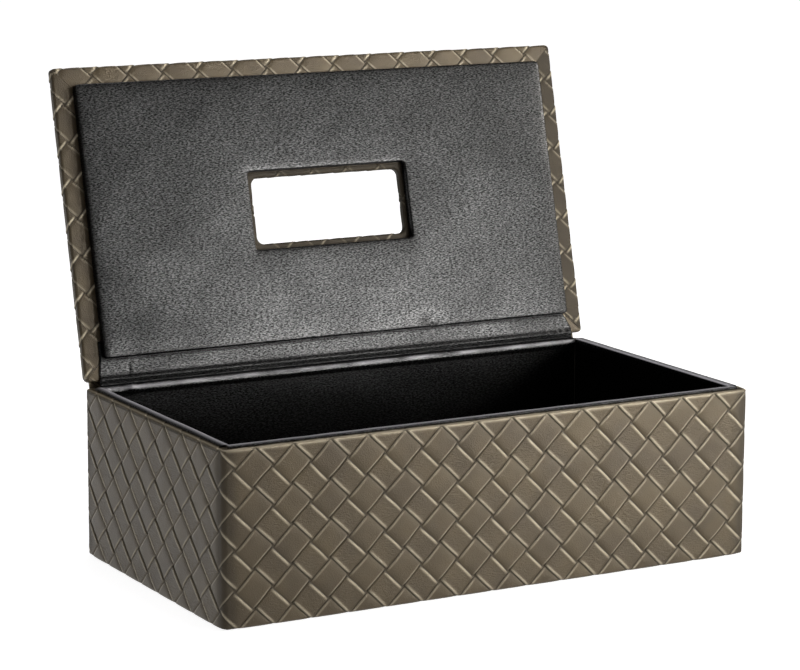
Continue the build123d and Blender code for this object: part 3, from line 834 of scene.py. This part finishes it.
def black_leathercloth():
    """Polyvinyl leathercloth, calendered with a fine grain: near black, with a grey satin sheen
    that breaks up on the grain."""
    material, tree, output = new_material("black grained leathercloth")
    place = attribute(tree, "cloth", "Vector")
    clouds = noise(tree, place, 0.03, 3.0)
    rough = remap(tree, clouds, 0.3, 0.7, 0.28, 0.34)
    # grain 0.4 by 1 mm that leans one way, with dull valleys between its ridges
    lean = add(tree, "ShaderNodeMapping", inputs={
        "Vector": place, "Rotation": (0, 0, math.radians(38)), "Scale": (0.8, 2.0, 1.0),
    })
    grain = noise(tree, lean.outputs[0], 1.0, 2.0, Roughness=0.55, Distortion=0.5)
    bump = relief(tree, grain, 0.08)
    shine = remap(tree, grain, 0.40, 0.70, 0.10, 1.0)
    worn = remap(tree, clouds, 0.3, 0.7, 1.05, 0.72)
    shine = calculate(tree, "MULTIPLY", shine, worn)
    # the cloth is glossier where it is handled, and a painted highlight greys it along the folds at the
    # tops of the linings and the hinge sheet
    handled = attribute(tree, "handled")
    touched = remap(tree, handled, 0.0, 0.5, 0.3, 1.0)
    shine = calculate(tree, "MULTIPLY", shine, touched)
    painted_fold_highlight = remap(tree, handled, 0.5, 1.0, 0.0, 1.0)
    colour = tint(tree, painted_fold_highlight, linear("#060606"), linear("#dddbe0"))
    shader = add(tree, "ShaderNodeBsdfPrincipled", inputs={
        "Base Color": colour, "Roughness": rough, "IOR": 1.5,
        "Specular IOR Level": shine, "Normal": bump,
    })
    tree.links.new(shader.outputs[0], output.inputs[0])
    return material


def plain_sheet(name, low, high, size, bump_mm, roughness):
    """Card, greyboard, foam or paper: fibres or cells that mottle its colour and roughen it."""
    material, tree, output = new_material(name)
    place = add(tree, "ShaderNodeTexCoord").outputs["Object"]
    mottle = noise(tree, place, 1 / (size * MM), 4.0)
    ramp = add(tree, "ShaderNodeValToRGB", inputs={"Fac": mottle})
    ramp.color_ramp.elements[0].color, ramp.color_ramp.elements[1].color = linear(low), linear(high)
    bump = relief(tree, mottle, bump_mm)
    shader = add(tree, "ShaderNodeBsdfPrincipled", inputs={
        "Base Color": ramp.outputs["Color"], "Roughness": roughness, "Normal": bump,
    })
    tree.links.new(shader.outputs[0], output.inputs[0])
    return material


bronze = embossed_leathercloth()
black = black_leathercloth()
greyboard = plain_sheet("greyboard", "#6d685f", "#8d877b", 1.2, 0.05, 0.9)
lining_card = plain_sheet("grey lining card", "#77726a", "#98928a", 0.9, 0.03, 0.85)
foam = plain_sheet("thin polyether foam", "#c9c6bd", "#e2dfd6", 0.6, 0.15, 0.95)
base_paper = plain_sheet("black base paper", "#0e0e0f", "#1a1a1b", 0.8, 0.04, 0.7)


def finish_piece(ob, material, slot, body, *nodes):
    """A piece with its material, the solids that it replaces and the body it rides; its slot is not used.
    """
    ob.data.materials.append(material)
    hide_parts(*nodes)
    if body:
        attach(ob, body)
    return ob


body = finish_piece(body_wrap(), bronze, "wrap", "box", "body_wrap")
lid = finish_piece(lid_wrap(), bronze, "wrap", "lid", "lid_wrap")
panel = finish_piece(lid_panel(), black, "lining", "lid", "panel_cover", "panel_foam")
front_lining = finish_piece(
    wall_lining("front_lining_cloth", half=MOUTH_X, reach=MOUTH_Y, turn=0, seed=41),
    black, "lining", "box", "front_lining_cover")
left_lining = finish_piece(
    wall_lining("left_lining_cloth", half=63.4, reach=MOUTH_X, turn=-math.pi / 2, seed=42),
    black, "lining", "box", "left_lining_cover")
right_lining = finish_piece(
    wall_lining("right_lining_cloth", half=63.4, reach=MOUTH_X, turn=math.pi / 2, seed=43),
    black, "lining", "box", "right_lining_cover")
floor_lining = finish_piece(
    flat_sheet(
        "floor_lining_cloth", 123.3, 63.3, radius=0.5, face_z=FLOOR_FACE, back_z=5.0, side=1,
        seed=44, wave=0.08, step=2.5),
    black, "lining", "box", "floor_lining_cover")
base = finish_piece(
    flat_sheet(
        "base_sheet", 127.0, 67.0, radius=0.1, face_z=0.0, back_z=BASE_LIFT, side=-1,
        seed=45, wave=0.0, step=4.0),
    base_paper, "base", "box", "base_cover")
hinge_in = finish_piece(hinge_lining(), black, "lining", None, "hinge_lining")
hinge_out = finish_piece(hinge_spine(), bronze, "wrap", None, "hinge_spine")
crossing = [[0, 65.0, 76.5], [0, *opened_yz(66.5, 76.7)]]
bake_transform(hinge_in)
crossing = [[0, 70.4, 75.5], [0, *opened_yz(69.0, 81.4)]]
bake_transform(hinge_out)

# ---- Boards, cards and foam keep their solids ----
for name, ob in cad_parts.items():
    if name.endswith("_board"):
        material = greyboard
    elif name.endswith("_card"):
        material = lining_card
    elif name == "panel_foam":
        material = foam
    else:
        continue
    ob = ob if isinstance(ob, bpy.types.Object) else bpy.data.objects[name]
    ob.data.materials.clear()
    ob.data.materials.append(material)

# ---- Camera, floor and lamps ----
scene = bpy.context.scene
scene.view_settings.view_transform = "Standard"


def place_camera(azimuth, elevation, roll, distance, target, lens):
    """The scene's camera, from angles in degrees, metres and a lens in millimetres."""
    a, e, r = map(math.radians, (azimuth, elevation, roll))
    back = Vector((math.sin(a) * math.cos(e), -math.cos(a) * math.cos(e), math.sin(e)))
    right = Vector((math.cos(a), math.sin(a), 0))
    up = back.cross(right)
    right, up = right * math.cos(r) + up * math.sin(r), up * math.cos(r) - right * math.sin(r)
    data = bpy.data.cameras.new("camera")
    data.lens, data.sensor_width = lens, 36.0
    camera = bpy.data.objects.new("camera", data)
    scene.collection.objects.link(camera)
    place = Vector(target) + back * distance
    camera.matrix_world = Matrix((
        (right.x, up.x, back.x, place.x), (right.y, up.y, back.y, place.y),
        (right.z, up.z, back.z, place.z), (0, 0, 0, 1),
    ))
    scene.camera = camera


place_camera(
    azimuth=-29.32, elevation=10.81, roll=0.28, distance=1.308,
    target=(-0.00891, 0.0, 0.10091), lens=133.65,
)


def lamp(name, place, target, size, power, colour):
    """A square softbox at a place that looks at its target, with its side in metres and watts."""
    data = bpy.data.lights.new(name, "AREA")
    data.shape, data.size, data.energy, data.color = "SQUARE", size, power, colour
    ob = bpy.data.objects.new(name, data)
    scene.collection.objects.link(ob)
    ob.location = place
    ob.rotation_euler = (Vector(target) - Vector(place)).to_track_quat("-Z", "Y").to_euler()
    return ob


lamp("key softbox", (2.14, -1.34, 1.11), (0, 0, 0.10), 0.50, 38, (1.0, 0.97, 0.92))
lamp("front softbox", (0.50, -1.31, 0.64), (0, 0, 0.10), 0.75, 1.1, (1.0, 0.99, 0.97))
sheen = lamp("sheen softbox", (0.38, -0.62, 0.175), (0.03, 0.09, 0.125), 0.28, 0.235, (1.0, 0.99, 0.97))
sheen.data.spread = math.radians(34)
lamp("top softbox", (0.15, 0.25, 1.35), (0, 0, 0.08), 0.6, 5.5, (0.97, 0.97, 1.0))
lamp("fill softbox", (-1.9, -0.6, 0.9), (0, 0, 0.08), 1.2, 2.6, (1.0, 0.96, 0.97))

world = bpy.data.worlds.new("studio")
scene.world = world
world.use_nodes = True
tree = world.node_tree
tree.nodes.clear()
sky = add(tree, "ShaderNodeBackground", inputs={"Color": (1, 1, 1, 1), "Strength": 0.12})
tree.links.new(sky.outputs[0], add(tree, "ShaderNodeOutputWorld").inputs[0])

# pale floor, seen as white but keeping the object's shadow
material, tree, output = new_material("white studio floor")
rays = add(tree, "ShaderNodeLightPath")
seen = calculate(tree, "MAXIMUM", rays.outputs["Is Camera Ray"], rays.outputs["Is Glossy Ray"])
seen = calculate(tree, "MAXIMUM", seen, rays.outputs["Is Transmission Ray"])
matt = add(tree, "ShaderNodeBsdfDiffuse", inputs={"Color": linear("#c4c4c4")})
# the lamps reach less far out, so the floor's own white grows with distance from the object
place = add(tree, "ShaderNodeTexCoord").outputs["Object"]
far = add(tree, "ShaderNodeVectorMath", {"operation": "LENGTH"}, {0: place})
own = add(tree, "ShaderNodeMapRange", {"interpolation_type": "SMOOTHSTEP"}, {
    "Value": far.outputs["Value"], "From Min": 0.3, "From Max": 3.0, "To Min": 0.90, "To Max": 0.96,
})
lift = calculate(tree, "MULTIPLY", seen, own.outputs[0])
glow = add(tree, "ShaderNodeEmission", inputs={"Color": (1, 1, 1, 1), "Strength": lift})
both = add(tree, "ShaderNodeAddShader", inputs={0: matt.outputs[0], 1: glow.outputs[0]})
tree.links.new(both.outputs[0], output.inputs[0])
far_corners = [(-6e3, -6e3, 0), (6e3, -6e3, 0), (6e3, 6e3, 0), (-6e3, 6e3, 0)]
floor = make_mesh("studio_floor", far_corners, [[0, 1, 2, 3]])
floor.data.materials.append(material)
